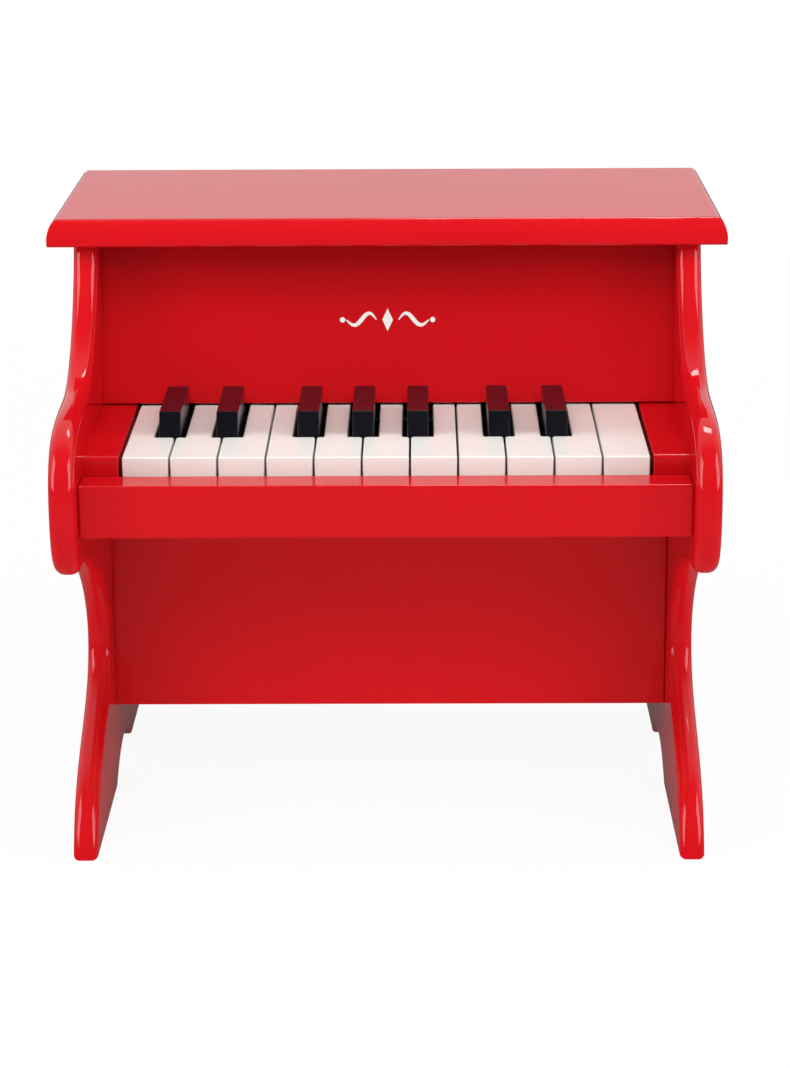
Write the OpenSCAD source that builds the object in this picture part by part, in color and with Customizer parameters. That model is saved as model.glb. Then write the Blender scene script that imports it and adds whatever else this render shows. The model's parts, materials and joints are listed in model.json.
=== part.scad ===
// Toy upright piano with eighteen keys, hammers and hanging tone rods.
// Frame: X to the right, -Y to the player, +Z up. The origin is on the floor,
// midway between the arm noses and the back edge of the lid.

/* [Overall size] */
// Depth from the arm noses to the back edge of the lid
case_d = 257; // [240:1:320]
// Height to the top of the lid
case_h = 271.5; // [262:0.5:340]

/* [Lid] */
// Thickness of the lid
lid_t = 12; // [8:0.5:18]
// How far the lid reaches past each side panel
lid_overhang = 11; // [4:0.5:20]
// Distance from the arm noses back to the front edge of the lid
lid_setback = 117.2; // [105:0.2:122]
// Width of the rounding along the front and sides of the lid
lid_round_w = 5; // [2:0.5:10]
// Height of that rounding, down from the top of the lid
lid_round_h = 10; // [2:0.5:11]

/* [Side panels] */
// Thickness of a side panel
panel_t = 11; // [9:0.5:16]
// Height of the flat top of the arm
arm_top_z = 206.1; // [195:0.1:225]
// Height of the underside of the arm
arm_low_z = 138.1; // [128:0.1:150]
// Height at which the leg is narrowest
waist_z = 76; // [60:1:95]
// Distance from the arm noses back to the top of the column
column_setback = 123.5; // [112:0.5:130]
// Distance from the arm noses back to the waist of the leg
waist_setback = 126.1; // [110:0.1:135]
// Distance from the arm noses back to the toe of the front foot
toe_setback = 43.1; // [30:0.1:60]
// Distance from the arm noses to the front end of the floor arch
arch_start = 134.5; // [120:0.5:140]
// Length of the floor arch
arch_len = 74.5; // [50:0.5:80]
// Height of the floor arch
arch_rise = 12; // [6:0.5:20]

/* [Boards] */
// Height of the bottom of the case
case_low_z = 38; // [25:1:60]
// Thickness of the lower front panel and the nameboard
front_board_t = 8; // [6:0.5:12]
// Distance from the arm noses back to the lower front panel
lower_panel_setback = 142.5; // [130:0.5:160]
// Distance from the arm noses back to the foot of the nameboard
nameboard_setback = 125.1; // [122:0.1:135]
// How far the top of the nameboard leans back
nameboard_lean = 17.4; // [0:0.2:25]
// Thickness of the bottom board
bottom_board_t = 6; // [4:0.5:10]
// Thickness of the back panel
back_t = 3; // [2.5:0.5:6]
// How far the back panel stops short of each side panel's outer face
back_inset = 3; // [1:0.5:5]

/* [Keyboard] */
// Spacing of the white keys
key_pitch = 20.26; // [18:0.01:25]
// Gap between neighbouring white keys
key_gap = 0.9; // [0.5:0.05:1.5]
// Height of the top of the white keys
key_top_z = 185.9; // [180:0.1:192]
// Thickness of a key at its front
key_h = 14; // [12:0.5:16]
// Thickness of a key behind its axle
tail_h = 10; // [8:0.5:11]
// Width of a key behind its axle
tail_w = 9; // [7:0.1:10]
// Length of the wide front of a white key
key_head_len = 34.7; // [25:0.1:45]
// Width of the notch that a black key stands in
notch_w = 13.35; // [12:0.05:14]
// Width of a black key
black_w = 9.3; // [8:0.1:10]
// Height of a black key above the white ones
black_rise = 10.7; // [8:0.1:14]
// Distance from the back end of a black cap to the nameboard
black_cap_back = 6.7; // [4:0.1:12]
// Gap between the cheek blocks and the outer keys
cheek_gap = 1.07; // [0.5:0.01:2]
// Width of a cheek block
cheek_w = 15.5; // [12:0.5:24]
// Thickness of the key slip, front to back
slip_t = 17.1; // [12:0.1:20]
// Height of the key slip
slip_h = 22.6; // [20:0.1:25]
// How far the key slip hangs below the key bed
slip_drop = 1.5; // [0:0.1:3]
// Distance from the arm noses back to the key slip
slip_setback = 14.6; // [8:0.1:20]
// Thickness of the key bed
key_bed_t = 6; // [5:0.5:7]
// Thickness of the felt under the key fronts
front_felt_t = 1.6; // [1:0.1:2.5]
// How far a key turns when pressed, in degrees
key_turn = 4; // [2:0.5:4.5]

/* [Action] */
// Radius of the key axle and the hammer axle
axle_r = 1.5; // [1:0.1:2]
// Distance from the foot of the nameboard back to the key axle
key_axle_setback = 11.4; // [9:0.2:14]
// Height of the hammer axle above the key axle
hammer_axle_rise = 13; // [12:0.1:16]
// Distance from the hammer axle back to the tone rods
hammer_axle_to_rods = 18; // [16:0.5:22]
// Height of the middle of the hammer head above its axle when it strikes
hammer_reach = 38; // [30:1:42]
// Radius of the hammer head
head_r = 4; // [3:0.1:4.5]
// How far a hammer turns from rest to its strike, in degrees
hammer_turn = 24; // [15:1:26]
// Outer radius of a key spring
spring_r = 2.5; // [2:0.1:3]
// Radius of the round wire that a key spring is wound from
spring_wire_r = 0.4; // [0.3:0.05:0.5]

/* [Tone rods] */
// Radius of a tone rod
rod_r = 1.6; // [1.2:0.1:2]
// Free length of the lowest tone rod
rod_len = 160; // [120:1:170]
// Length of rod held in the tone block
rod_seat = 12; // [8:1:13]
// Height of the tone block
block_h = 16; // [14:1:20]
// Depth of the tone block, front to back
block_t = 15; // [12:0.5:16]

/* [Fits] */
// Radial running clearance of a key or hammer on its axle
running_fit = 0.05; // [0.02:0.01:0.1]
// Radial clearance of a dowel, screw or rod in its hole
seat_fit = 0.03; // [0.01:0.01:0.1]
// Gap left between a felt, a spring or a hammer and what it touches
rest_gap = 0.3; // [0.2:0.05:0.5]

/* [Hidden] */
$fn = 48;
TINY = 0.01;
CURVE_STEPS = 22;
WHITES = 11;
FLATS = [1, 1, 0, 1, 1, 1, 0];

RED = [0.80, 0.07, 0.08];
RED_DARK = [0.62, 0.05, 0.06];
IVORY = [0.93, 0.90, 0.87];
BLACK = [0.06, 0.06, 0.08];
BEECH = [0.80, 0.65, 0.45];
STEEL = [0.72, 0.73, 0.75];
IRON = [0.33, 0.34, 0.36];
FELT = [0.35, 0.10, 0.12];

// Widths
keys_half = WHITES * key_pitch / 2;
inner_half = keys_half + cheek_gap + cheek_w;
outer_half = inner_half + panel_t;
lid_half = outer_half + lid_overhang;
cheek_x = inner_half - cheek_w;

// Depths
nose_y = -case_d / 2;
back_y = case_d / 2;
panel_back_y = back_y - back_t;
lid_front_y = nose_y + lid_setback;
lower_y = nose_y + lower_panel_setback;
nameboard_y = nose_y + nameboard_setback;
slip_y = nose_y + slip_setback;
slip_back_y = slip_y + slip_t;
key_front_y = slip_back_y + 1;
key_axle_y = nameboard_y + key_axle_setback;
rods_y = panel_back_y - block_t / 2;
hammer_axle_y = rods_y - hammer_axle_to_rods;
hammer_foot_len = 12.5;
hammer_nose_r = 1.5;
tail_end_y = hammer_axle_y - hammer_foot_len + 3.5;
neck_end_y = nameboard_y + 3;

// Heights
lid_low_z = case_h - lid_t;
key_low_z = key_top_z - key_h;
tail_top_z = key_low_z + tail_h;
key_axle_z = key_low_z + tail_h / 2 + 0.1;
press_drop = (key_axle_y - key_front_y) * sin(key_turn);
bed_top_z = key_low_z - press_drop - front_felt_t;
bed_low_z = bed_top_z - key_bed_t;
slip_low_z = bed_low_z - slip_drop;
slip_top_z = slip_low_z + slip_h;
cheek_top_z = key_top_z + 0.4;
nameboard_low_z = key_top_z + 1;
hammer_axle_z = key_axle_z + hammer_axle_rise;
block_low_z = hammer_axle_z + hammer_reach + head_r + 2;
bottom_top_z = case_low_z + bottom_board_t;

// Keys in one octave stand in a group of three and a group of four
function octave_step(i) = i % 7;
function group_count(i) = octave_step(i) < 3 ? 3 : 4;
function group_place(i) = octave_step(i) < 3 ? octave_step(i) : octave_step(i) - 3;
function group_x(i) = -keys_half + (i - group_place(i)) * key_pitch;
function neck_w(i) = (group_count(i) * key_pitch - (group_count(i) - 1) * notch_w) / group_count(i);
function neck_x(i) = group_x(i) + group_place(i) * (neck_w(i) + notch_w);
function neck_mid(i) = neck_x(i) + neck_w(i) / 2;
function black_x(i) = neck_x(i) + neck_w(i) + notch_w / 2;
function has_black(i) = FLATS[octave_step(i)] == 1 && i < WHITES - 1;
function blacks_before(i) = i == 0 ? 0 : blacks_before(i - 1) + (has_black(i - 1) ? 1 : 0);

BLACKS_AFTER = [for (i = [0:WHITES - 1]) if (has_black(i)) i];
LEVER_X = [for (i = [0:WHITES - 1]) each has_black(i) ? [neck_mid(i), black_x(i)] : [neck_mid(i)]];
LEVERS = len(LEVER_X);
function lever_gap_x(k) = (LEVER_X[k - 1] + LEVER_X[k]) / 2;
stand_t = 1.2;
stand_w = 7;
stand_side = tail_w / 2 + 1.6;
STAND_X = [
    LEVER_X[0] - stand_side,
    lever_gap_x(6),
    lever_gap_x(12),
    LEVER_X[LEVERS - 1] + stand_side
];
axle_end = stand_t / 2;
axle_x0 = STAND_X[0] - axle_end;
axle_len = STAND_X[3] + axle_end - axle_x0;

// Springs and rails
spring_y = key_axle_y - 30;
pocket_r = spring_r + 0.7;
pocket_depth = 5;
spring_drop = (key_axle_y - spring_y + spring_r) * sin(key_turn);
spring_top_z = key_low_z + pocket_depth - spring_drop - rest_gap;
felt_len = 12;
tail_rail_y = tail_end_y - felt_len - 2;
tail_felt_t = 2;
hammer_rail_y = tail_end_y + 2;
hammer_rail_t = 12;
hammer_rail_h = 13;
bed_back_y = hammer_rail_y + hammer_rail_t + 2;
stand_root = 3;

// Dowels: [distance into the board, y, z, radius]
case_dowel_in = 14;
case_dowel_out = 6;
dowel_inset = 20;
hole_end = 0.2;
thin_dowel_r = 2;
thick_dowel_r = 3;
lean_slope = nameboard_lean / (lid_low_z - nameboard_low_z);
function nameboard_mid_y(z) = nameboard_y + (z - nameboard_low_z) * lean_slope + front_board_t / 2;
SLIP_DOWELS = [[slip_y + slip_t / 2, slip_low_z + slip_h / 2, thick_dowel_r]];
BED_DOWELS = [for (y = [slip_back_y + dowel_inset, key_axle_y, bed_back_y - dowel_inset])
    [y, bed_low_z + key_bed_t / 2, thin_dowel_r]];
LOWER_DOWELS = [for (z = [bottom_top_z + dowel_inset, bed_low_z - dowel_inset])
    [lower_y + front_board_t / 2, z, thin_dowel_r]];
NAME_DOWELS = [for (z = [nameboard_low_z + dowel_inset, lid_low_z - dowel_inset])
    [nameboard_mid_y(z), z, thin_dowel_r]];
BOTTOM_DOWELS = [for (y = [lower_y + front_board_t + dowel_inset, panel_back_y - dowel_inset])
    [y, case_low_z + bottom_board_t / 2, thin_dowel_r]];
CASE_DOWELS = concat(SLIP_DOWELS, BED_DOWELS, LOWER_DOWELS, NAME_DOWELS, BOTTOM_DOWELS);
lid_dowel_half = 8;
lid_dowel_x = inner_half + panel_t / 2;
LID_DOWELS = [for (side = [-1, 1], y = [lower_y + dowel_inset, panel_back_y - dowel_inset])
    [side * lid_dowel_x, y]];

// Screws: countersunk, heads just under the surface
screw_r = 1.5;
screw_head_r = 3;
screw_head_h = 1.8;
screw_len = 16;
screw_sink = 0.1;
back_screw_x = inner_half + panel_t / 2;
screw_inset = 12;
back_screw_rows = 5;
back_screw_pitch = (lid_low_z - case_low_z - 2 * screw_inset) / (back_screw_rows - 1);
BACK_SCREWS = [for (side = [-1, 1], k = [0:back_screw_rows - 1])
    [side * back_screw_x, back_y, case_low_z + screw_inset + k * back_screw_pitch]];
block_z = block_low_z + block_h / 2;
block_overhang = 8;
block_x0 = LEVER_X[0] - block_overhang;
block_x1 = LEVER_X[LEVERS - 1] + block_overhang;
BLOCK_SCREWS = [for (k = [3, 9, 15]) [lever_gap_x(k), back_y, block_z]];
CHEEK_SCREWS = [for (side = [-1, 1], y = [key_front_y + screw_inset, nameboard_y - screw_inset])
    [side * (inner_half - cheek_w / 2), y, bed_low_z]];

// ---------- shared shapes ----------

function bezier(a, b, c, d) = [for (k = [0:CURVE_STEPS - 1])
    let (t = k / CURVE_STEPS, s = 1 - t)
    s * s * s * a + 3 * s * s * t * b + 3 * s * t * t * c + t * t * t * d];

// An outline in Y and Z, drawn out along X from x0
module along_x(x0, w) {
    translate([x0, 0, 0])
        rotate([90, 0, 90])
            linear_extrude(w)
                children();
}

module rod_x(x0, w, y, z, r) {
    translate([x0, y, z])
        rotate([0, 90, 0])
            cylinder(r = r, h = w);
}

module board(x0, x1, y0, y1, z0, z1) {
    translate([x0, y0, z0])
        cube([x1 - x0, y1 - y0, z1 - z0]);
}

// A countersunk screw pointing along +Z, with the top of its head at z = 0
module screw_shape(extra) {
    translate([0, 0, screw_sink - extra])
        cylinder(r = screw_head_r + extra, h = extra + TINY);
    translate([0, 0, screw_sink])
        cylinder(r1 = screw_head_r + extra, r2 = screw_r + extra, h = screw_head_h);
    translate([0, 0, screw_sink])
        cylinder(r = screw_r + extra, h = screw_len + extra);
}

module screw_body() {
    translate([0, 0, screw_sink])
        cylinder(r1 = screw_head_r, r2 = screw_r, h = screw_head_h);
    translate([0, 0, screw_sink])
        cylinder(r = screw_r, h = screw_len);
}

module back_screws(spots) {
    for (s = spots)
        translate(s)
            rotate([90, 0, 0])
                children();
}

module cheek_screws(spots) {
    for (s = spots)
        translate(s)
            children();
}

module case_dowel_holes(spots) {
    for (side = [-1, 1], s = spots)
        rod_x(side * inner_half - case_dowel_in - hole_end, 2 * (case_dowel_in + hole_end),
            s[0], s[1], s[2] + seat_fit);
}

// ---------- case ----------

// Side view of a panel, from the toe of the foot up to the lid and round to the back
module side_outline() {
    column_y = nose_y + column_setback;
    waist_y = nose_y + waist_setback;
    toe_y = nose_y + toe_setback;
    shelf_y = nose_y + 64.5;
    throat_y = nose_y + 25.5;
    nose_mid_z = arm_low_z + 32.8;
    foot = bezier([toe_y, 0], [toe_y + 5, 46], [waist_y, waist_z - 32], [waist_y, waist_z]);
    throat = bezier([waist_y, waist_z], [waist_y, waist_z + 28], [waist_y - 61.6, arm_low_z + 0.8],
        [throat_y, arm_low_z]);
    chin = bezier([throat_y, arm_low_z], [throat_y - 18, arm_low_z], [nose_y, nose_mid_z - 20],
        [nose_y, nose_mid_z]);
    knuckle = bezier([nose_y, nose_mid_z], [nose_y, arm_top_z - 0.1], [nose_y + 30.5, arm_top_z - 1.6],
        [shelf_y, arm_top_z]);
    sweep = bezier([shelf_y, arm_top_z], [shelf_y + 28, arm_top_z + 0.9], [column_y - 7, lid_low_z - 23.5],
        [column_y, lid_low_z]);
    difference() {
        polygon(concat(foot, throat, chin, knuckle, sweep,
            [[column_y, lid_low_z], [panel_back_y, lid_low_z], [panel_back_y, 0]]));
        arch_r = (arch_len * arch_len / 4 + arch_rise * arch_rise) / (2 * arch_rise);
        translate([nose_y + arch_start + arch_len / 2, arch_rise - arch_r])
            circle(r = arch_r, $fn = 96);
    }
}

module side_panel(side) {
    x0 = side < 0 ? -outer_half : inner_half;
    color(RED)
        difference() {
            along_x(x0, panel_t)
                side_outline();
            for (s = CASE_DOWELS)
                rod_x(side * (inner_half + case_dowel_out / 2) - case_dowel_out / 2 - hole_end,
                    case_dowel_out + 2 * hole_end, s[0], s[1], s[2] + seat_fit);
            for (d = LID_DOWELS)
                translate([d[0], d[1], lid_low_z - lid_dowel_half - hole_end])
                    cylinder(r = thick_dowel_r + seat_fit, h = lid_dowel_half + hole_end + 1);
            back_screws(BACK_SCREWS)
                screw_shape(seat_fit);
        }
}

module side_panel_left() {
    side_panel(-1);
}

module side_panel_right() {
    side_panel(1);
}

// Square outline with one or both of its upper corners rounded, w wide and h high
module rounded_top(a0, a1, z0, z1, w, h, front_only) {
    difference() {
        translate([a0, z0])
            square([a1 - a0, z1 - z0]);
        corner_cut(a0, z1, w, h, 1);
        if (!front_only)
            corner_cut(a1, z1, w, h, -1);
    }
}

module corner_cut(a, z, w, h, way) {
    difference() {
        translate([way > 0 ? a - 1 : a - w, z - h])
            square([w + 1, h + 1]);
        translate([a + way * w, z - h])
            scale([w / h, 1])
                circle(r = h);
    }
}

module lid() {
    color(RED)
        difference() {
            intersection() {
                along_x(-lid_half, 2 * lid_half)
                    rounded_top(lid_front_y, back_y, lid_low_z, case_h, lid_round_w, lid_round_h, true);
                translate([0, back_y, 0])
                    rotate([90, 0, 0])
                        linear_extrude(back_y - lid_front_y)
                            rounded_top(-lid_half, lid_half, lid_low_z, case_h, lid_round_w, lid_round_h, false);
            }
            for (d = LID_DOWELS)
                translate([d[0], d[1], lid_low_z - 1])
                    cylinder(r = thick_dowel_r + seat_fit, h = lid_dowel_half + hole_end + 1);
        }
}

module nameboard() {
    color(RED)
        difference() {
            along_x(-inner_half, 2 * inner_half)
                polygon([
                    [nameboard_y, nameboard_low_z],
                    [nameboard_y + nameboard_lean, lid_low_z],
                    [nameboard_y + nameboard_lean + front_board_t, lid_low_z],
                    [nameboard_y + front_board_t, nameboard_low_z]
                ]);
            case_dowel_holes(NAME_DOWELS);
        }
}

module lower_panel() {
    color(RED)
        difference() {
            board(-inner_half, inner_half, lower_y, lower_y + front_board_t, case_low_z, bed_low_z);
            case_dowel_holes(LOWER_DOWELS);
        }
}

module bottom_board() {
    color(RED_DARK)
        difference() {
            board(-inner_half, inner_half, lower_y + front_board_t, panel_back_y, case_low_z, bottom_top_z);
            case_dowel_holes(BOTTOM_DOWELS);
        }
}

module back_panel() {
    half = outer_half - back_inset;
    color(RED_DARK)
        difference() {
            board(-half, half, panel_back_y, back_y, case_low_z, lid_low_z);
            back_screws(concat(BACK_SCREWS, BLOCK_SCREWS))
                screw_shape(seat_fit);
        }
}

module key_bed() {
    color(BEECH)
        difference() {
            board(-inner_half, inner_half, slip_back_y, bed_back_y, bed_low_z, bed_top_z);
            case_dowel_holes(BED_DOWELS);
            cheek_screws(CHEEK_SCREWS)
                screw_shape(seat_fit);
            for (x = STAND_X)
                stand_slot(x, key_axle_y, bed_top_z);
        }
}

module key_slip() {
    color(RED)
        difference() {
            board(-inner_half, inner_half, slip_y, slip_back_y, slip_low_z, slip_top_z);
            case_dowel_holes(SLIP_DOWELS);
        }
}

module cheek_block(side) {
    x0 = side < 0 ? -inner_half : cheek_x;
    color(RED)
        difference() {
            board(x0, x0 + cheek_w, key_front_y, nameboard_y + 20, bed_top_z, cheek_top_z);
            cheek_screws(CHEEK_SCREWS)
                screw_shape(seat_fit);
        }
}

module cheek_block_left() {
    cheek_block(-1);
}

module cheek_block_right() {
    cheek_block(1);
}

module dowels() {
    color(BEECH) {
        for (s = CASE_DOWELS) {
            rod_x(-inner_half - case_dowel_out, case_dowel_out + case_dowel_in, s[0], s[1], s[2]);
            rod_x(inner_half - case_dowel_in, case_dowel_out + case_dowel_in, s[0], s[1], s[2]);
        }
        for (d = LID_DOWELS)
            translate([d[0], d[1], lid_low_z - lid_dowel_half])
                cylinder(r = thick_dowel_r, h = 2 * lid_dowel_half);
    }
}

module screws() {
    color(STEEL) {
        back_screws(concat(BACK_SCREWS, BLOCK_SCREWS))
            screw_body();
        cheek_screws(CHEEK_SCREWS)
            screw_body();
    }
}

// ---------- keyboard ----------

module stand(x, y, z0, axle_z) {
    difference() {
        board(x - stand_t / 2, x + stand_t / 2, y - stand_w / 2, y + stand_w / 2,
            z0 - stand_root, axle_z + 4.5);
        rod_x(x - stand_t, 2 * stand_t, y, axle_z, axle_r + seat_fit);
    }
}

module stand_slot(x, y, z0) {
    board(x - stand_t / 2 - seat_fit, x + stand_t / 2 + seat_fit,
        y - stand_w / 2 - seat_fit, y + stand_w / 2 + seat_fit,
        z0 - stand_root - seat_fit, z0 + 1);
}

module key_stands() {
    color(STEEL)
        for (x = STAND_X)
            stand(x, key_axle_y, bed_top_z, key_axle_z);
}

module key_axle() {
    color(STEEL)
        rod_x(axle_x0, axle_len, key_axle_y, key_axle_z, axle_r);
}

// Springs stand on the key bed at the length they have under a pressed key
module key_springs() {
    turns = 6;
    height = spring_top_z - bed_top_z;
    step = height / turns;
    coil_r = spring_r - spring_wire_r;
    color(STEEL)
        for (x = LEVER_X)
            translate([x, spring_y, bed_top_z])
                rotate_extrude()
                    for (k = [0:turns - 1])
                        polygon([
                            [coil_r - spring_wire_r, k * step],
                            [coil_r, k * step],
                            [spring_r, (k + 0.5) * step],
                            [coil_r, (k + 1) * step],
                            [coil_r - spring_wire_r, (k + 1) * step]
                        ]);
}

module key_felts() {
    front_half = keys_half - 0.5;
    color(FELT) {
        board(-front_half, front_half, key_front_y + 4, key_front_y + 4 + felt_len,
            bed_top_z, bed_top_z + front_felt_t - rest_gap);
        board(-front_half, front_half, tail_rail_y, tail_rail_y + felt_len,
            key_low_z - rest_gap - tail_felt_t, key_low_z - rest_gap);
    }
}

module tail_rail() {
    color(BEECH)
        board(-inner_half, inner_half, tail_rail_y, tail_rail_y + felt_len,
            bed_top_z, key_low_z - rest_gap - tail_felt_t);
}

module lever_cuts(x) {
    rod_x(x - key_pitch, 2 * key_pitch, key_axle_y, key_axle_z, axle_r + running_fit);
    translate([x, spring_y, key_low_z - 1])
        cylinder(r = pocket_r, h = pocket_depth + 1);
}

// Plan of the wide front of a white key, with the corners beside a black key rounded
module key_head_plan(x0, x1, notch_left, notch_right) {
    corner_r = 1.6;
    y1 = key_front_y + key_head_len;
    difference() {
        translate([x0, key_front_y])
            square([x1 - x0, key_head_len]);
        if (notch_left)
            corner_cut(x0, y1, corner_r, corner_r, 1);
        if (notch_right)
            corner_cut(x1, y1, corner_r, corner_r, -1);
    }
}

module white_key(i) {
    x0 = -keys_half + i * key_pitch + key_gap / 2;
    x1 = x0 + key_pitch - key_gap;
    notch_left = group_place(i) > 0;
    notch_right = has_black(i);
    neck_x0 = notch_left ? neck_x(i) : x0;
    neck_x1 = notch_right ? neck_x(i) + neck_w(i) : x1;
    head_y = key_front_y + key_head_len;
    mid = neck_mid(i);
    color(IVORY)
        difference() {
            union() {
                translate([0, 0, key_low_z])
                    linear_extrude(key_h)
                        key_head_plan(x0, x1, notch_left, notch_right);
                board(neck_x0, neck_x1, head_y - key_head_len / 2, neck_end_y, key_low_z, key_top_z);
                board(mid - tail_w / 2, mid + tail_w / 2, neck_end_y - 5, tail_end_y, key_low_z, tail_top_z);
            }
            lever_cuts(mid);
        }
}

module black_key(i) {
    x = black_x(i);
    front_y = key_front_y + key_head_len + 0.8;
    cap_back_y = nameboard_y - black_cap_back;
    cap_top_z = key_top_z + black_rise;
    color(BLACK)
        difference() {
            along_x(x - black_w / 2, black_w)
                polygon([
                    [front_y, key_low_z],
                    [front_y, key_top_z - 2],
                    [front_y + 2, cap_top_z],
                    [cap_back_y, cap_top_z],
                    [cap_back_y + 0.6, key_top_z - 0.5],
                    [neck_end_y, key_top_z - 0.5],
                    [neck_end_y, tail_top_z],
                    [tail_end_y, tail_top_z],
                    [tail_end_y, key_low_z]
                ]);
            lever_cuts(x);
        }
}

// ---------- hammers and tone rods ----------

module hammer_rail() {
    color(BEECH)
        difference() {
            board(-inner_half, inner_half, hammer_rail_y, hammer_rail_y + hammer_rail_t,
                bed_top_z, bed_top_z + hammer_rail_h);
            for (x = STAND_X)
                stand_slot(x, hammer_axle_y, bed_top_z + hammer_rail_h);
        }
}

module hammer_stands() {
    color(STEEL)
        for (x = STAND_X)
            stand(x, hammer_axle_y, bed_top_z + hammer_rail_h, hammer_axle_z);
}

module hammer_axle() {
    color(STEEL)
        rod_x(axle_x0, axle_len, hammer_axle_y, hammer_axle_z, axle_r);
}

// The shank and head are drawn where they strike, then turned back to rest
module hammer(k) {
    hub_r = 4;
    hub_w = 8;
    shank_t = 4;
    foot_w = 6;
    foot_t = 3;
    nose_z = tail_top_z + rest_gap + hammer_nose_r - hammer_axle_z;
    head_y = hammer_axle_to_rods - rod_r - rest_gap - head_r;
    color(BEECH)
        translate([LEVER_X[k], hammer_axle_y, hammer_axle_z])
            difference() {
                union() {
                    rod_x(-hub_w / 2, hub_w, 0, 0, hub_r);
                    rod_x(-foot_w / 2, foot_w, -hammer_foot_len, nose_z, hammer_nose_r);
                    board(-foot_w / 2, foot_w / 2, -hammer_foot_len - hammer_nose_r,
                        -hammer_foot_len + hammer_nose_r, nose_z, nose_z + foot_t);
                    board(-foot_w / 2, foot_w / 2, -hammer_foot_len, 0,
                        nose_z + hammer_nose_r, nose_z + hammer_nose_r + foot_t);
                    rotate([hammer_turn, 0, 0]) {
                        board(-shank_t / 2, shank_t / 2, -shank_t / 2, shank_t / 2, 0, hammer_reach);
                        translate([0, -head_r - 1, hammer_reach])
                            rotate([-90, 0, 0])
                                cylinder(r = head_r, h = head_y + head_r + 1);
                        translate([0, head_y, hammer_reach])
                            sphere(r = head_r);
                    }
                }
                rod_x(-hub_w, 2 * hub_w, 0, 0, axle_r + running_fit);
            }
}

module tone_block() {
    color(IRON)
        difference() {
            board(block_x0, block_x1, panel_back_y - block_t, panel_back_y,
                block_low_z, block_low_z + block_h);
            for (x = LEVER_X)
                translate([x, rods_y, block_low_z - 1])
                    cylinder(r = rod_r + seat_fit, h = rod_seat + 1 + seat_fit);
            back_screws(BLOCK_SCREWS)
                screw_shape(seat_fit);
        }
}

// A rod a semitone higher is shorter by the twenty-fourth root of two
module tone_rods() {
    color(STEEL)
        for (k = [0:LEVERS - 1])
            let (free_len = rod_len * pow(2, -k / 24))
            translate([LEVER_X[k], rods_y, block_low_z - free_len])
                cylinder(r = rod_r, h = free_len + rod_seat);
}

side_panel_left();
side_panel_right();
lid();
nameboard();
lower_panel();
bottom_board();
back_panel();
key_bed();
key_slip();
cheek_block_left();
cheek_block_right();
dowels();
screws();
key_stands();
key_axle();
key_springs();
key_felts();
tail_rail();
hammer_rail();
hammer_stands();
hammer_axle();
tone_block();
tone_rods();
for (i = [0:WHITES - 1])
    white_key(i);
for (i = [0:len(BLACKS_AFTER) - 1])
    black_key(BLACKS_AFTER[i]);
for (k = [0:LEVERS - 1])
    hammer(k);
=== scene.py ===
import json
import math

import bmesh
import bpy
from mathutils import Euler, Matrix, Vector


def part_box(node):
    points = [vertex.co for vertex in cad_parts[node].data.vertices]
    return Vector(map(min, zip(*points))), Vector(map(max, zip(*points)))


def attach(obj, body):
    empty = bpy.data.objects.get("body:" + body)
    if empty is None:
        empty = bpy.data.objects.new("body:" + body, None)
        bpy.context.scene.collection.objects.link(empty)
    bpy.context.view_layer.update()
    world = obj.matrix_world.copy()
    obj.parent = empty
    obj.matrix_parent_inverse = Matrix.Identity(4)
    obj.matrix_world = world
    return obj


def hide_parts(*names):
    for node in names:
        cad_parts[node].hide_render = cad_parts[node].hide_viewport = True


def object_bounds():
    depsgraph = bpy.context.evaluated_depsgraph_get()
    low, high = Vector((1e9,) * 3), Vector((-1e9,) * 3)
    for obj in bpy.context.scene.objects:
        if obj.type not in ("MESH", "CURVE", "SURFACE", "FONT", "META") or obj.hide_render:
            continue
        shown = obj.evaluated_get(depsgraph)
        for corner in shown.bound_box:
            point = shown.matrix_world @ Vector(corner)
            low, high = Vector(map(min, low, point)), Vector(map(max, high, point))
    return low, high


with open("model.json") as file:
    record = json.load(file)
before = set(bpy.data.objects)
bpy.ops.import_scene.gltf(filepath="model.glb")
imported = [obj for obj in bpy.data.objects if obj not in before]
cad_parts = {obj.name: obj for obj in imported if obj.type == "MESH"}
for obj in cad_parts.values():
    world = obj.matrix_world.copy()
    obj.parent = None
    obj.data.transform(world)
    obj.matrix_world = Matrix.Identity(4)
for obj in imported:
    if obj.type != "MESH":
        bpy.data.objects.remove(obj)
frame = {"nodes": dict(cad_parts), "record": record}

CAD_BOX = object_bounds()
MM = 0.001
scene = bpy.context.scene
scene.view_settings.view_transform = "Standard"


# ---------- camera ----------

CAMERA_PLACE = (0.0153, -1.3357, 0.5068)
CAMERA_PITCH = 15.96
CAMERA_YAW = 0.536
CAMERA_ROLL = -0.331
CAMERA_LENS = 102.8
CAMERA_SENSOR = 36


def make_camera():
    data = bpy.data.cameras.new("camera")
    data.lens = CAMERA_LENS
    data.sensor_width = CAMERA_SENSOR
    camera = bpy.data.objects.new("camera", data)
    scene.collection.objects.link(camera)
    aim = Euler((math.radians(90 - CAMERA_PITCH), 0, math.radians(CAMERA_YAW))).to_matrix()
    turn = aim @ Matrix.Rotation(math.radians(CAMERA_ROLL), 3, "Z")
    camera.matrix_world = Matrix.Translation(CAMERA_PLACE) @ turn.to_4x4()
    scene.camera = camera


# ---------- materials ----------

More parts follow.
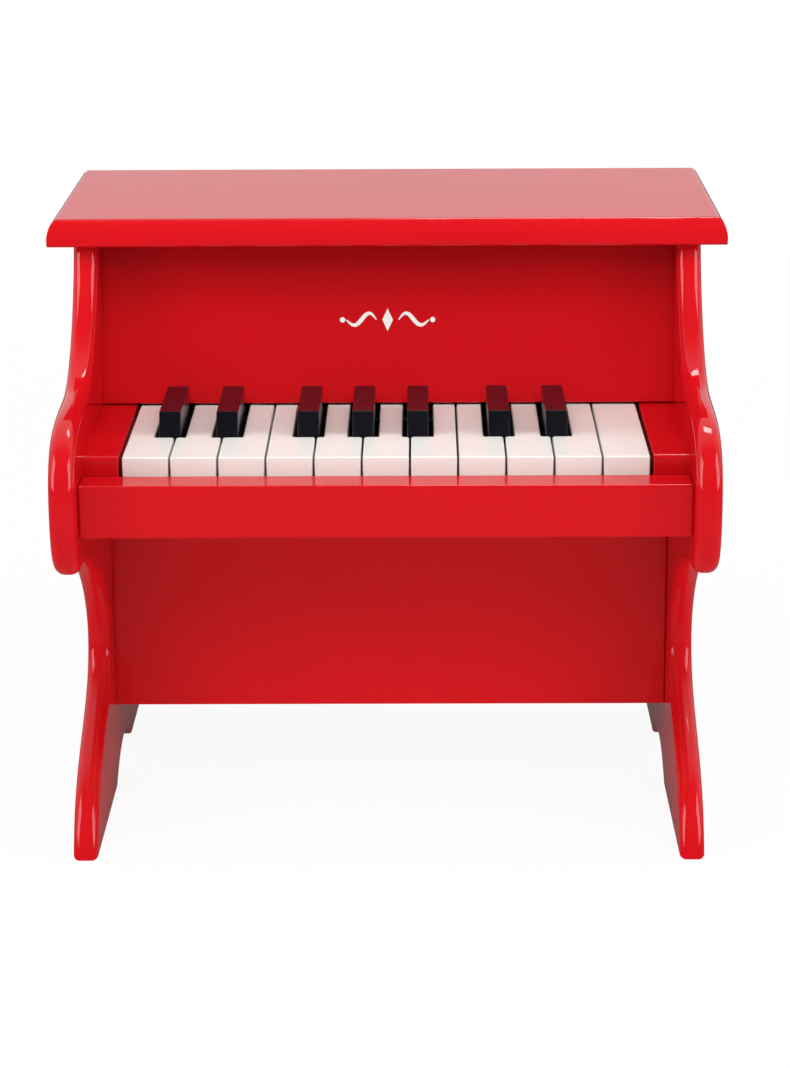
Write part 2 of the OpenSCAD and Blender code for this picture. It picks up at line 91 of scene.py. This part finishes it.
class Shader:
    """A Principled material with short calls for the nodes that it needs."""

    def __init__(self, name, roughness=0.5, metallic=0.0, **fixed):
        self.material = bpy.data.materials.new(name)
        self.material.use_nodes = True
        self.tree = self.material.node_tree
        self.main = self.tree.nodes["Principled BSDF"]
        self.main.inputs["Roughness"].default_value = roughness
        self.main.inputs["Metallic"].default_value = metallic
        for socket, value in fixed.items():
            self.main.inputs[socket.replace("_", " ")].default_value = value
        self.place = self.node("ShaderNodeTexCoord").outputs["Object"]

    def node(self, kind, **inputs):
        made = self.tree.nodes.new(kind)
        for name, value in inputs.items():
            self.set(made, name.replace("_", " "), value)
        return made

    def set(self, node, name, value):
        socket = node.inputs[name]
        if isinstance(value, bpy.types.NodeSocket):
            self.tree.links.new(value, socket)
        else:
            socket.default_value = value

    def stretched(self, x, y, z):
        mapping = self.node("ShaderNodeMapping", Vector=self.place)
        mapping.inputs["Scale"].default_value = (x, y, z)
        return mapping.outputs["Vector"]

    def noise(self, scale, detail=3.0, where=None, distortion=0.0):
        made = self.node("ShaderNodeTexNoise", Vector=where or self.place, Scale=scale, Detail=detail,
                         Distortion=distortion)
        return made.outputs["Fac"]

    def ramp(self, value, *stops):
        made = self.node("ShaderNodeValToRGB", Fac=value)
        elements = made.color_ramp.elements
        while len(elements) < len(stops):
            elements.new(0.5)
        for element, (place, colour) in zip(elements, stops):
            element.position = place
            element.color = (*colour, 1)
        return made.outputs["Color"]

    def spread(self, value, low, high):
        made = self.node("ShaderNodeMapRange", Value=value)
        made.inputs["To Min"].default_value = low
        made.inputs["To Max"].default_value = high
        return made.outputs["Result"]

    def colour(self, link):
        self.set(self.main, "Base Color", link)

    def rough(self, link):
        self.set(self.main, "Roughness", link)

    def bumps(self, *layers):
        """Each layer is (height, strength, depth in metres); they add up."""
        normal = None
        for height, strength, depth in layers:
            bump = self.node("ShaderNodeBump", Height=height, Strength=strength, Distance=depth)
            if normal:
                self.set(bump, "Normal", normal)
            normal = bump.outputs["Normal"]
        self.set(self.main, "Normal", normal)


def lacquer(name, red, coat, roughness):
    """Sprayed lacquer: a little orange peel, and colour that thins by a shade here and there."""
    made = Shader(name, Coat_Weight=coat, Coat_Roughness=0.045, Coat_IOR=1.45, Specular_IOR_Level=0.0)
    shade = tuple(c * 0.93 for c in red)
    made.colour(made.ramp(made.noise(7, 4), (0.35, shade), (0.65, red)))
    made.rough(made.spread(made.noise(40, 5), roughness - 0.04, roughness + 0.05))
    made.bumps((made.noise(420, 2), 0.10, 0.00004), (made.noise(38, 2), 0.10, 0.00006))
    return made.material


def enamel(name, colour, shade, roughness, coat):
    made = Shader(name, Coat_Weight=coat, Coat_Roughness=0.12, Specular_IOR_Level=0.2)
    made.colour(made.ramp(made.noise(45, 4), (0.3, shade), (0.7, colour)))
    made.rough(made.spread(made.noise(300, 4), roughness - 0.05, roughness + 0.07))
    made.bumps((made.noise(700, 3), 0.15, 0.00003), (made.noise(90, 2), 0.1, 0.0001))
    return made.material


def wood(name, light, dark, along):
    """Bare beech: long grain, short dark flecks and open pores."""
    made = Shader(name, Specular_IOR_Level=0.35)
    squeeze = [60, 60, 60]
    squeeze["XYZ".index(along)] = 4
    grain = made.noise(2.2, 6, made.stretched(*squeeze), 0.6)
    flecks = made.noise(14, 3, made.stretched(*squeeze))
    tone = made.node("ShaderNodeMath", Value=grain)
    tone.operation = "MULTIPLY_ADD"
    tone.inputs[1].default_value = 0.8
    made.tree.links.new(made.spread(flecks, 0.0, 0.2), tone.inputs[2])
    made.colour(made.ramp(tone.outputs[0], (0.3, dark), (0.72, light)))
    made.rough(made.spread(grain, 0.5, 0.72))
    made.bumps((flecks, 0.35, 0.00012), (grain, 0.25, 0.0002))
    return made.material


def drawn_steel(name, colour, along):
    made = Shader(name, metallic=1.0)
    squeeze = [900, 900, 900]
    squeeze["XYZ".index(along)] = 30
    streaks = made.noise(1.0, 4, made.stretched(*squeeze))
    dull = tuple(c * 0.8 for c in colour)
    made.colour(made.ramp(made.noise(60, 3), (0.3, dull), (0.7, colour)))
    made.rough(made.spread(streaks, 0.2, 0.42))
    made.bumps((streaks, 0.12, 0.00003))
    return made.material


def casting(name, colour):
    """A painted sand casting: pebbled skin with a few smoother, rubbed places."""
    made = Shader(name, Specular_IOR_Level=0.5)
    pale = tuple(c * 1.5 for c in colour)
    made.colour(made.ramp(made.noise(90, 5), (0.35, colour), (0.75, pale)))
    made.rough(made.spread(made.noise(160, 4), 0.42, 0.66))
    made.bumps((made.noise(520, 4), 0.6, 0.00025), (made.noise(60, 3), 0.3, 0.0005))
    return made.material


def felt(name, colour):
    made = Shader(name, roughness=0.95, Sheen_Weight=0.5, Sheen_Roughness=0.4, Specular_IOR_Level=0.1)
    dark = tuple(c * 0.55 for c in colour)
    fibres = made.noise(1500, 6, distortion=1.2)
    made.colour(made.ramp(fibres, (0.35, dark), (0.65, colour)))
    made.bumps((fibres, 0.8, 0.0003), (made.noise(200, 3), 0.5, 0.0005))
    return made.material


RED = (0.62, 0.0058, 0.0105)
MATERIALS = {
    "red_lacquer": lacquer("red_lacquer", RED, 0.95, 0.30),
    "back_lacquer": lacquer("back_lacquer", (0.60, 0.004, 0.008), 0.25, 0.42),
    "white_enamel": enamel("white_enamel", (0.87, 0.88, 0.845), (0.85, 0.85, 0.81), 0.32, 0.3),
    "black_enamel": enamel("black_enamel", (0.006, 0.006, 0.011), (0.003, 0.003, 0.006), 0.3, 0.3),
    "bare_wood": wood("bare_wood", (0.62, 0.42, 0.23), (0.42, 0.25, 0.12), "X"),
    "hammer_wood": wood("hammer_wood", (0.66, 0.46, 0.27), (0.46, 0.29, 0.15), "Z"),
    "bright_steel": drawn_steel("bright_steel", (0.62, 0.63, 0.65), "Z"),
    "cast_iron": casting("cast_iron", (0.055, 0.058, 0.062)),
    "felt": felt("felt", (0.25, 0.02, 0.035)),
}
SLOT_OF = {part["node"]: part["material_slot"] for part in frame["record"]["subparts"]}


# ---------- pieces from CAD nodes ----------

SAME = 1e-6
SHARP_ANGLE = math.radians(35)
EASED_ANGLE = math.radians(30)
SHORTEST_EASED = 2 * MM


def body_of_node(node):
    for body, nodes in frame["record"]["behaviour"]["bodies"].items():
        if node in nodes:
            return body


def add_piece(name, bm, node, body=None):
    """Turns bm into a piece with a CAD node's finish, riding on that node's body or the one named."""
    mesh = bpy.data.meshes.new(name)
    bm.normal_update()
    bm.to_mesh(mesh)
    bm.free()
    mesh.shade_smooth()
    mesh.set_sharp_from_angle(angle=SHARP_ANGLE)
    piece = bpy.data.objects.new(name, mesh)
    scene.collection.objects.link(piece)
    mesh.materials.append(MATERIALS[SLOT_OF[node]])
    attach(piece, body or body_of_node(node))
    return piece


def welded(node):
    """A node's mesh with its triangles joined up into flat faces."""
    bm = bmesh.new()
    bm.from_mesh(frame["nodes"][node].data)
    bmesh.ops.remove_doubles(bm, verts=bm.verts, dist=SAME)
    bmesh.ops.dissolve_limit(bm, angle_limit=math.radians(0.4), verts=bm.verts, edges=bm.edges)
    bm.normal_update()
    return bm


def eased(node, width, segments=3, share=None):
    """A copy of a node with its long sharp edges rounded, as sanding and paint leave them.

    share(edge) may give each sharp edge its own part of the width."""
    bm = welded(node)
    weight = bm.edges.layers.float.new("bevel_weight_edge")
    for edge in bm.edges:
        if len(edge.link_faces) != 2 or edge.calc_face_angle_signed() < EASED_ANGLE:
            continue
        if share:
            edge[weight] = share(edge)
        elif edge.calc_length() > SHORTEST_EASED:
            edge[weight] = 1
    piece = add_piece(node + "_eased", bm, node)
    bevel = piece.modifiers.new("eased edges", "BEVEL")
    bevel.limit_method = "WEIGHT"
    bevel.width = width
    bevel.segments = segments
    bevel.use_clamp_overlap = False
    bevel.miter_outer = "MITER_ARC"
    piece.modifiers.new("flat faces stay flat", "WEIGHTED_NORMAL").keep_sharp = True
    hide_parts(node)


def outline(node, x):
    """The rim of a node's flat face at x, as points in Y and Z, in order."""
    bm = bmesh.new()
    bm.from_mesh(frame["nodes"][node].data)
    bmesh.ops.remove_doubles(bm, verts=bm.verts, dist=SAME)
    face = [f for f in bm.faces if all(abs(v.co.x - x) < SAME for v in f.verts)]
    inside = set(face)
    rim = [e for f in face for e in f.edges if sum(g in inside for g in e.link_faces) == 1]
    beside = {}
    for edge in rim:
        a, b = edge.verts
        beside.setdefault(a, []).append(b)
        beside.setdefault(b, []).append(a)
    start = rim[0].verts[0]
    loop, last, here = [start], None, start
    while True:
        onward = [v for v in beside[here] if v is not last][0]
        if onward is start:
            break
        loop.append(onward)
        last, here = here, onward
    points = [Vector((v.co.y, v.co.z)) for v in loop]
    bm.free()
    area = sum(a.x * b.y - b.x * a.y for a, b in zip(points, points[1:] + points[:1]))
    return points if area > 0 else points[::-1]


def side_panel(node, outer_x, inner_x):
    """A side panel whose front edge is a full round, worked from the CAD panel's outline."""
    bullnose, sole, elsewhere, levels = 4.5 * MM, 1.7 * MM, 0.5 * MM, 7
    sole_zone, toe_fade, corner_angle = 15 * MM, 7 * MM, math.radians(22)
    points = outline(node, outer_x)
    low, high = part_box(node)
    top, bottom, back = high[2], low[2], high[1]
    count = len(points)
    toe = min((i for i in range(count) if points[i].y - bottom < SAME), key=lambda i: points[i].x)

    # counter-clockwise in Y and Z: from the toe the loop runs along the sole, up the back and over the top
    def rounding(i):
        a, b = points[i], points[(i + 1) % count]
        if abs(a.y - top) < SAME and abs(b.y - top) < SAME:
            return 0.0
        if abs(a.x - back) < SAME and abs(b.x - back) < SAME:
            return elsewhere
        low_down = max(a.y, b.y) < bottom + sole_zone
        behind_toe = min(a.x, b.x) > points[toe].x - SAME and (i - toe) % count < count // 2
        if low_down and behind_toe:
            return sole
        to_toe = (a.lerp(b, 0.5) - points[toe]).length
        return sole + (bullnose - sole) * min(1.0, to_toe / toe_fade)

    radius = [rounding(i) for i in range(count)]
    insets, depths = [], []
    for i in range(count):
        before = (points[i] - points[i - 1]).normalized()
        after = (points[(i + 1) % count] - points[i]).normalized()
        n1, n2 = Vector((-before.y, before.x)), Vector((-after.y, after.x))
        r1, r2 = radius[i - 1], radius[i]
        det = n1.x * n2.y - n1.y * n2.x
        if abs(det) > math.sin(corner_angle):
            inset = Vector(((r1 * n2.y - r2 * n1.y) / det, (n1.x * r2 - n2.x * r1) / det))
        else:
            inset = (n1 + n2).normalized() * (r1 + r2) / 2
        insets.append(inset)
        depths.append(max(r1, r2))

    bm = bmesh.new()
    inward = 1 if inner_x > outer_x else -1

    def ring(level, side):
        turn = math.pi / 2 * level / levels
        made = []
        for point, inset, depth in zip(points, insets, depths):
            spot = point + inset * (1 - math.sin(turn))
            off = depth * (1 - math.cos(turn))
            x = outer_x + inward * off if side == 0 else inner_x - inward * off
            made.append(bm.verts.new((x, spot.x, spot.y)))
        return made

    rings = [ring(level, 0) for level in range(levels + 1)] + \
        [ring(level, 1) for level in range(levels, -1, -1)]
    for lower, upper in zip(rings, rings[1:]):
        for i in range(count):
            j = (i + 1) % count
            bm.faces.new((lower[i], lower[j], upper[j], upper[i]))
    bm.faces.new(rings[0])
    bm.faces.new(rings[-1])
    bmesh.ops.remove_doubles(bm, verts=bm.verts, dist=1e-7)
    bmesh.ops.recalc_face_normals(bm, faces=bm.faces)
    piece = add_piece(node + "_bullnosed", bm, node)
    piece.modifiers.new("flat faces stay flat", "WEIGHTED_NORMAL").keep_sharp = True
    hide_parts(node)


def lid():
    """Eased all round, the short steps of its rounding where they meet the back face included."""
    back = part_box("lid")[1][1]

    def share(edge):
        on_back = all(v.co.y > back - SAME for v in edge.verts)
        return 1.0 if on_back or edge.calc_length() > SHORTEST_EASED else 0.0

    eased("lid", 0.9 * MM, 3, share)


def cheek_block(node, wall_side):
    """Well rounded along its front edge, barely on the others, and not at all against the wall."""
    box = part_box(node)
    wall, front, top = box[wall_side][0], box[0][1], box[1][2]

    def share(edge):
        if all(abs(v.co.x - wall) < SAME for v in edge.verts):
            return 0.0
        if all(v.co.z > top - SAME and v.co.y < front + SAME for v in edge.verts):
            return 1.0
        return 0.3

    eased(node, 1.9 * MM, 5, share)


def build_case():
    for node, outer, inner in (("side_panel_left", 0, 1), ("side_panel_right", 1, 0)):
        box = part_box(node)
        side_panel(node, box[outer][0], box[inner][0])
    lid()
    eased("nameboard", 0.5 * MM)
    eased("lower_panel", 0.6 * MM)
    eased("bottom_board", 0.5 * MM)
    eased("key_slip", 1.0 * MM, 4)
    cheek_block("cheek_block_left", 0)
    cheek_block("cheek_block_right", 1)


def build_keys():
    for node in frame["nodes"]:
        if node.startswith("white_key"):
            front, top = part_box(node)[0][1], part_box(node)[1][2]

            def share(edge):
                on_top = all(v.co.z > top - SAME for v in edge.verts)
                in_front = all(v.co.y < front + SAME for v in edge.verts)
                return 1.0 if on_top or in_front else 0.0

            eased(node, 0.55 * MM, 3, share)
        elif node.startswith("black_key"):
            eased(node, 0.5 * MM, 3)


# ---------- springs ----------

def tube(bm, path, radius, sides=8):
    """A closed tube of round wire along a path."""
    rings = []
    for i, spot in enumerate(path):
        run = (path[min(i + 1, len(path) - 1)] - path[max(i - 1, 0)]).normalized()
        flat = run.cross(Vector((0, 0, 1))).normalized()
        steep = run.cross(flat)
        rings.append([bm.verts.new(spot + (flat * math.cos(a) + steep * math.sin(a)) * radius)
                      for a in (2 * math.pi * k / sides for k in range(sides))])
    for lower, upper in zip(rings, rings[1:]):
        for k in range(sides):
            bm.faces.new((lower[k], lower[(k + 1) % sides], upper[(k + 1) % sides], upper[k]))
    bm.faces.new(rings[0][::-1])
    bm.faces.new(rings[-1])


def build_springs():
    """Coil springs with closed end turns, one under each key."""
    low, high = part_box("key_springs")
    wire, turns, steps = 0.4 * MM, 6, 20
    coil_r = (high[1] - low[1]) / 2 - wire
    middle_y = (low[1] + high[1]) / 2
    rise = high[2] - low[2] - 2 * wire
    bm = bmesh.new()
    hammers = [node for node in frame["nodes"] if node.startswith("hammer_") and node[7:].isdigit()]
    for node in hammers:
        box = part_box(node)
        x = (box[0][0] + box[1][0]) / 2
        path = []
        for k in range(turns * steps + 1):
            angle = 2 * math.pi * k / steps
            along = k / steps / turns
            climb = min(1, max(0, along * 1.25 - 0.125))
            path.append(Vector((x + coil_r * math.cos(angle), middle_y + coil_r * math.sin(angle),
                                low[2] + wire + rise * climb)))
        tube(bm, path, wire)
    bmesh.ops.recalc_face_normals(bm, faces=bm.faces)
    piece = add_piece("coil_springs", bm, "key_springs")
    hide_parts("key_springs")


# ---------- screws ----------

SLOT_TURN = 37


def islands(mesh):
    """The lowest and highest corner of each loose part of a mesh."""
    owner = list(range(len(mesh.vertices)))

    def root(i):
        while owner[i] != i:
            owner[i] = owner[owner[i]]
            i = owner[i]
        return i

    for edge in mesh.edges:
        a, b = edge.vertices
        owner[root(a)] = root(b)
    parts = {}
    for vertex in mesh.vertices:
        parts.setdefault(root(vertex.index), []).append(vertex.co)
    return [(Vector(map(min, *spots)), Vector(map(max, *spots))) for spots in parts.values()]


def cut_away(piece, cutter):
    """Takes the cutter's volume out of a piece."""
    mesh = bpy.data.meshes.new("cutter")
    cutter.to_mesh(mesh)
    cutter.free()
    tool = bpy.data.objects.new("cutter", mesh)
    scene.collection.objects.link(tool)
    cut = piece.modifiers.new("cut", "BOOLEAN")
    cut.operation = "DIFFERENCE"
    cut.solver = "EXACT"
    cut.object = tool
    bpy.context.view_layer.update()
    shaped = bpy.data.meshes.new_from_object(piece.evaluated_get(bpy.context.evaluated_depsgraph_get()))
    piece.modifiers.clear()
    piece.data = shaped
    shaped.set_sharp_from_angle(angle=SHARP_ANGLE)
    bpy.data.objects.remove(tool)


def whole(node, name):
    """A node's mesh as it is, in a piece that replaces the node."""
    bm = bmesh.new()
    bm.from_mesh(frame["nodes"][node].data)
    bmesh.ops.remove_doubles(bm, verts=bm.verts, dist=SAME)
    piece = add_piece(name, bm, node)
    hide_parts(node)
    return piece


def build_screws():
    """Cuts a straight slot across each screw's head, and opens the countersinks in the back panel.

    The CAD's countersinks stop just under the panel's face."""
    piece = whole("screws", "slotted_screws")
    slots, sinks = bmesh.new(), bmesh.new()
    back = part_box("back_panel")[1][1]
    for k, (low, high) in enumerate(islands(piece.data)):
        middle = (low + high) / 2
        span = high - low
        in_back = span.y > span.z
        turn = Matrix.Rotation(math.radians(SLOT_TURN * k % 180), 3, "Y" if in_back else "Z")
        head = Vector((middle.x, high.y, middle.z)) if in_back else Vector((middle.x, middle.y, low.z))
        half = Vector((4, 0.9, 0.4)) * MM if in_back else Vector((4, 0.4, 0.9)) * MM
        for v in bmesh.ops.create_cube(slots, size=2)["verts"]:
            v.co = head + turn @ Vector((v.co.x * half.x, v.co.y * half.y, v.co.z * half.z))
        if in_back:
            middle_y = back + 0.48 * MM
            place = Matrix.Translation((head.x, middle_y, head.z)) @ Matrix.Rotation(math.pi / 2, 4, "X")
            radius = span.x / 2 + 0.08 * MM
            bmesh.ops.create_cone(sinks, cap_ends=True, segments=48, radius1=radius, radius2=radius,
                                  depth=1.2 * MM, matrix=place)
    cut_away(piece, slots)
    cut_away(whole("back_panel", "back_panel_drilled"), sinks)


# ---------- emblem ----------

def ribbon(bm, spots, widths, place, thick):
    """A flat closed ribbon along spots, with place() taking (across, up, out) to the board's face."""
    left, right = [], []
    for i, spot in enumerate(spots):
        run = (spots[min(i + 1, len(spots) - 1)] - spots[max(i - 1, 0)]).normalized()
        side = Vector((-run.y, run.x)) * widths[i] / 2
        left.append(spot + side)
        right.append(spot - side)
    rim = left + right[::-1]
    front = [bm.verts.new(place(p.x, p.y, thick)) for p in rim]
    rear = [bm.verts.new(place(p.x, p.y, -thick)) for p in rim]
    count, half = len(rim), len(left)
    for i in range(half - 1):
        j = count - 1 - i
        bm.faces.new((front[i], front[i + 1], front[j - 1], front[j]))
        bm.faces.new((rear[j], rear[j - 1], rear[i + 1], rear[i]))
    for i in range(count):
        j = (i + 1) % count
        bm.faces.new((front[j], front[i], rear[i], rear[j]))


def build_emblem():
    """A plain ornament: a lozenge between two mirrored scrolls with a dot at each end."""
    low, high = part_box("nameboard")
    panel_low, panel_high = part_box("lower_panel")
    thickness = panel_high[1] - panel_low[1]
    foot = Vector((0, low[1], low[2]))
    up = Vector((0, high[1] - thickness - low[1], high[2] - low[2]))
    middle = foot + up * 0.50
    up.normalize()
    out = Vector((0, -up.z, up.y))

    def place(across, above, proud):
        return middle + Vector((1, 0, 0)) * across + up * above + out * proud

    bm = bmesh.new()
    thick = 0.12 * MM
    steps = 28
    for side in (-1, 1):
        spots, widths = [], []
        for k in range(steps + 1):
            t = k / steps
            wave = 3.2 * math.sin(2 * math.pi * t) * (1 - 0.35 * t)
            spots.append(Vector((side * (5 + 13.5 * t) * MM, wave * MM)))
            widths.append((0.35 + 1.5 * math.sin(math.pi * t) ** 0.8) * MM)
        ribbon(bm, spots, widths, place, thick)
        dot = Vector((side * 20.2 * MM, 0))
        across = [2 * k / 12 - 1 for k in range(13)]
        spots = [dot + Vector((1.2 * MM * a, 0)) for a in across]
        widths = [max(0.02, 2.4 * math.sqrt(max(0, 1 - a ** 2))) * MM for a in across]
        ribbon(bm, spots, widths, place, thick)
    spots = [Vector((0, h * MM)) for h in (-5, -2.5, 0, 2.5, 5)]
    ribbon(bm, spots, [w * MM for w in (0.05, 2.4, 4.75, 2.4, 0.05)], place, thick)
    bmesh.ops.recalc_face_normals(bm, faces=bm.faces)
    add_piece("scroll_emblem", bm, "white_key_1", "case")


# ---------- stage ----------

AMBIENT = 0.10


def seen_or_mirrored(tree):
    """1 for rays from the camera, from mirrors and through glass, 0 for the light itself."""
    nodes, links = tree.nodes, tree.links
    ray = nodes.new("ShaderNodeLightPath")
    seen = nodes.new("ShaderNodeMath")
    either = nodes.new("ShaderNodeMath")
    either.use_clamp = True
    links.new(ray.outputs["Is Camera Ray"], seen.inputs[0])
    links.new(ray.outputs["Is Glossy Ray"], seen.inputs[1])
    links.new(seen.outputs[0], either.inputs[0])
    links.new(ray.outputs["Is Transmission Ray"], either.inputs[1])
    return either.outputs[0]


def set_range(node, from_min, from_max, to_min, to_max):
    names = ("From Min", "From Max", "To Min", "To Max")
    for name, value in zip(names, (from_min, from_max, to_min, to_max)):
        node.inputs[name].default_value = value


def make_floor():
    """A pale floor that is white to the eye, keeps a little of the object's shadow, and is dim in mirrors."""
    bm = bmesh.new()
    half, level = 6.0, -0.2 * MM
    corners = ((-half, -half), (half, -half), (half, half), (-half, half))
    bm.faces.new([bm.verts.new((x, y, level)) for x, y in corners])
    mesh = bpy.data.meshes.new("floor")
    bm.to_mesh(mesh)
    bm.free()
    floor = bpy.data.objects.new("floor", mesh)
    scene.collection.objects.link(floor)
    material = bpy.data.materials.new("pale_floor")
    material.use_nodes = True
    tree = material.node_tree
    main = tree.nodes["Principled BSDF"]
    main.inputs["Base Color"].default_value = (0.92, 0.92, 0.92, 1)
    main.inputs["Roughness"].default_value = 0.9
    glow = tree.nodes.new("ShaderNodeEmission")
    ray = tree.nodes.new("ShaderNodeLightPath")
    glow_strength = tree.nodes.new("ShaderNodeMapRange")
    glow_strength.inputs["To Min"].default_value = 0.12
    tree.links.new(ray.outputs["Is Camera Ray"], glow_strength.inputs["Value"])
    tree.links.new(glow_strength.outputs["Result"], glow.inputs["Strength"])
    # the object's shadow shows in the small part that isn't glow, which fades out with distance
    here = tree.nodes.new("ShaderNodeTexCoord")
    distance = tree.nodes.new("ShaderNodeVectorMath")
    distance.operation = "LENGTH"
    tree.links.new(here.outputs["Object"], distance.inputs[0])
    fade = tree.nodes.new("ShaderNodeMapRange")
    fade.interpolation_type = "SMOOTHSTEP"
    set_range(fade, 0.3, 1.6, 0.93, 1.0)
    tree.links.new(distance.outputs["Value"], fade.inputs["Value"])
    share = tree.nodes.new("ShaderNodeMath")
    share.operation = "MULTIPLY"
    tree.links.new(fade.outputs["Result"], share.inputs[1])
    mix = tree.nodes.new("ShaderNodeMixShader")
    tree.links.new(seen_or_mirrored(tree), share.inputs[0])
    tree.links.new(share.outputs[0], mix.inputs["Fac"])
    tree.links.new(main.outputs[0], mix.inputs[1])
    tree.links.new(glow.outputs[0], mix.inputs[2])
    tree.links.new(mix.outputs[0], tree.nodes["Material Output"].inputs["Surface"])
    mesh.materials.append(material)


def make_world():
    """White to the eye. Mirrors see a white backdrop behind the object and a dim room in front."""
    world = bpy.data.worlds.new("studio")
    scene.world = world
    world.use_nodes = True
    tree = world.node_tree
    nodes, links = tree.nodes, tree.links
    back = nodes["Background"]
    way = nodes.new("ShaderNodeTexCoord")
    parts = nodes.new("ShaderNodeSeparateXYZ")
    links.new(way.outputs["Generated"], parts.inputs[0])
    sweep = nodes.new("ShaderNodeMapRange")
    sweep.interpolation_type = "SMOOTHSTEP"
    set_range(sweep, -0.25, 0.35, 0.06, 0.72)
    links.new(parts.outputs["Y"], sweep.inputs["Value"])
    ray = nodes.new("ShaderNodeLightPath")
    glossy = nodes.new("ShaderNodeMath")
    links.new(ray.outputs["Is Glossy Ray"], glossy.inputs[0])
    links.new(ray.outputs["Is Transmission Ray"], glossy.inputs[1])
    # ambient light for everything else, then the backdrop for mirrors, then white for the eye
    lit = nodes.new("ShaderNodeMix")
    lit.inputs["A"].default_value = AMBIENT
    links.new(glossy.outputs[0], lit.inputs["Factor"])
    links.new(sweep.outputs["Result"], lit.inputs["B"])
    shown = nodes.new("ShaderNodeMix")
    shown.inputs["B"].default_value = 1.0
    links.new(ray.outputs["Is Camera Ray"], shown.inputs["Factor"])
    links.new(lit.outputs["Result"], shown.inputs["A"])
    links.new(shown.outputs["Result"], back.inputs["Strength"])
    back.inputs["Color"].default_value = (1, 1, 1, 1)


def softbox(name, place, aim, size, power):
    data = bpy.data.lights.new(name, "AREA")
    data.shape = "RECTANGLE"
    data.size, data.size_y = size
    data.energy = power
    lamp = bpy.data.objects.new(name, data)
    scene.collection.objects.link(lamp)
    lamp.location = place
    lamp.rotation_euler = (Vector(aim) - Vector(place)).to_track_quat("-Z", "Y").to_euler()
    return lamp


def make_lights():
    middle = (CAD_BOX[0] + CAD_BOX[1]) / 2
    top = softbox("top_light", (0, -0.65, 1.55), middle, (1.6, 0.9), 14.5)
    top.visible_glossy = False
    for name, x in (("left_box", -1.35), ("right_box", 1.35)):
        place, aim, size = (x, -0.60, 0.80), (0, -0.05, 0.25), (0.85, 1.25)
        softbox(name, place, aim, size, 13)
        stripe = softbox(name + "_in_mirrors", place, aim, size, 11)
        stripe.visible_diffuse = False
    softbox("rear_top_light", (0.25, 0.80, 1.6), middle, (0.55, 0.3), 5)
    fill = softbox("front_fill", (0, -1.7, 1.35), middle, (2.0, 0.7), 8.5)
    fill.visible_glossy = False
    bounce = softbox("floor_bounce", (0, -0.03, 0.004), (0, -0.03, 1.0), (0.22, 0.07), 0.055)
    bounce.visible_glossy = bounce.visible_camera = False
    rear = softbox("rear_fill", (0, 2.0, 0.9), middle, (2.0, 1.2), 11)
    rear.visible_glossy = False


make_camera()
for node, shown in frame["nodes"].items():
    shown.data.materials.clear()
    shown.data.materials.append(MATERIALS[SLOT_OF[node]])
build_case()
build_keys()
build_springs()
build_screws()
build_emblem()
make_floor()
make_world()
make_lights()
